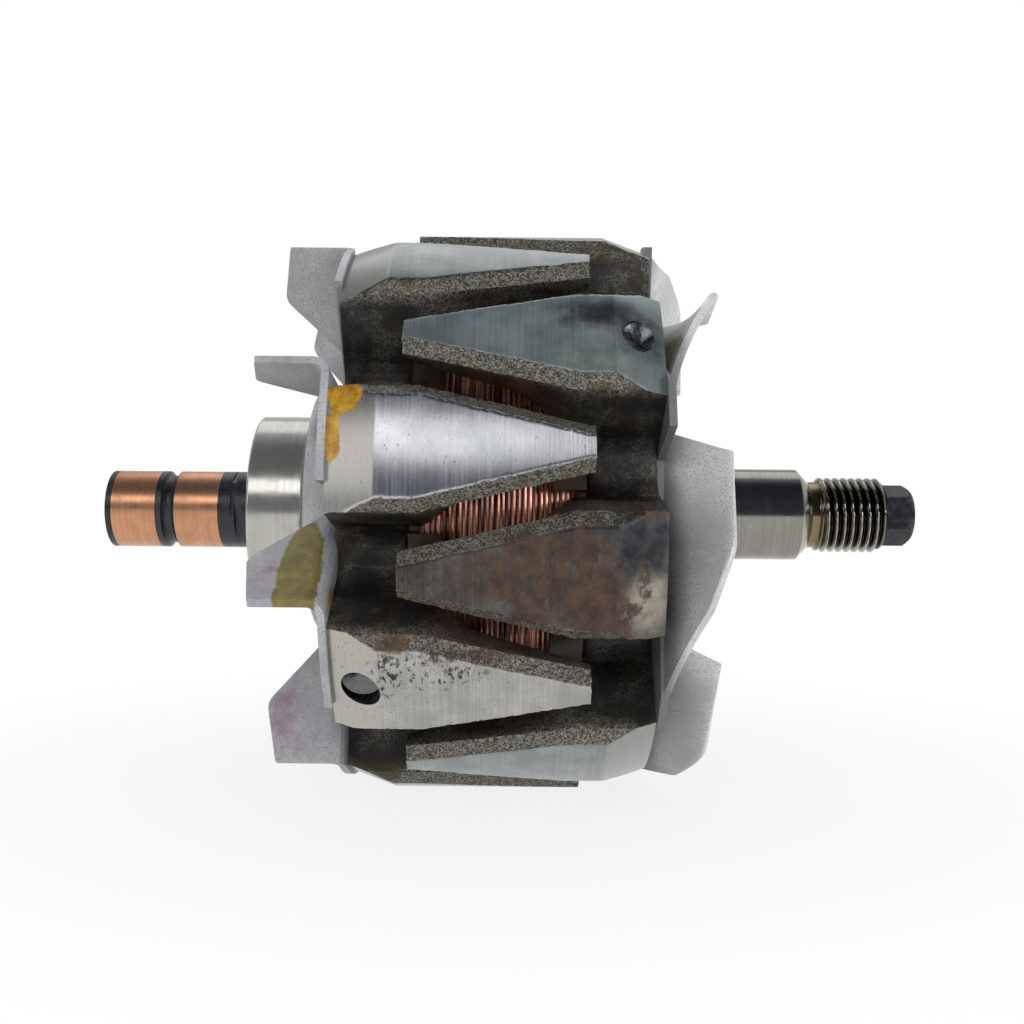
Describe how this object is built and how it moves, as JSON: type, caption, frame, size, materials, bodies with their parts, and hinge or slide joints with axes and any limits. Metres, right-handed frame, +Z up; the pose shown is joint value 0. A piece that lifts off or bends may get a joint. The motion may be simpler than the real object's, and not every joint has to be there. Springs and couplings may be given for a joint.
{
  "type": "alternator rotor",
  "caption": "Claw-pole alternator rotor: shaft with forged poles around a field winding, stamped fans at both ends, slip rings and a rear ball bearing.",
  "frame": {"origin": "on the shaft axis at half the overall length", "axes": "+X along the shaft towards the threaded drive end, +Z up as the rotor lies on its claws"},
  "size_m": [0.149, 0.101, 0.101],
  "materials": {
    "shaft_steel": "ground and oiled",
    "forged_steel": "turned faces on rough forged steel",
    "enamelled_copper": "enamelled copper wire",
    "bobbin_plastic": "glossy, varnished",
    "amber_insulation": "varnished fibre",
    "zinc_sheet": "zinc plated sheet",
    "bearing_steel": "ground",
    "cage_brass": "stamped",
    "seal_rubber": "matte",
    "black_moulding": "satin",
    "ring_copper": "satin turned"
  },
  "bodies": {
    "rotor": {"shaft": "shaft_steel", "rear_pole_core": "forged_steel", "front_pole_core": "forged_steel", "core_yoke": "forged_steel", "field_winding": "enamelled_copper", "coil_bobbin": "bobbin_plastic", "rear_coil_petals": "amber_insulation", "front_coil_petals": "amber_insulation", "rear_fan": "zinc_sheet", "front_fan": "zinc_sheet", "front_spacer": "shaft_steel", "bearing_inner_ring": "bearing_steel", "bearing_balls": "bearing_steel", "bearing_cage": "cage_brass", "slip_ring_moulding": "black_moulding", "outer_slip_ring": "ring_copper", "inner_slip_ring": "ring_copper"},
    "bearing_housing_side": {"bearing_outer_ring": "bearing_steel", "bearing_rear_seal": "seal_rubber", "bearing_front_seal": "seal_rubber"}
  },
  "joints": [
    {"name": "bearing_spin", "type": "hinge", "parent": "rotor", "child": "bearing_housing_side", "pos_m": [-0.0415, 0, 0], "axis": [1, 0, 0], "continuous": true}
  ]
}
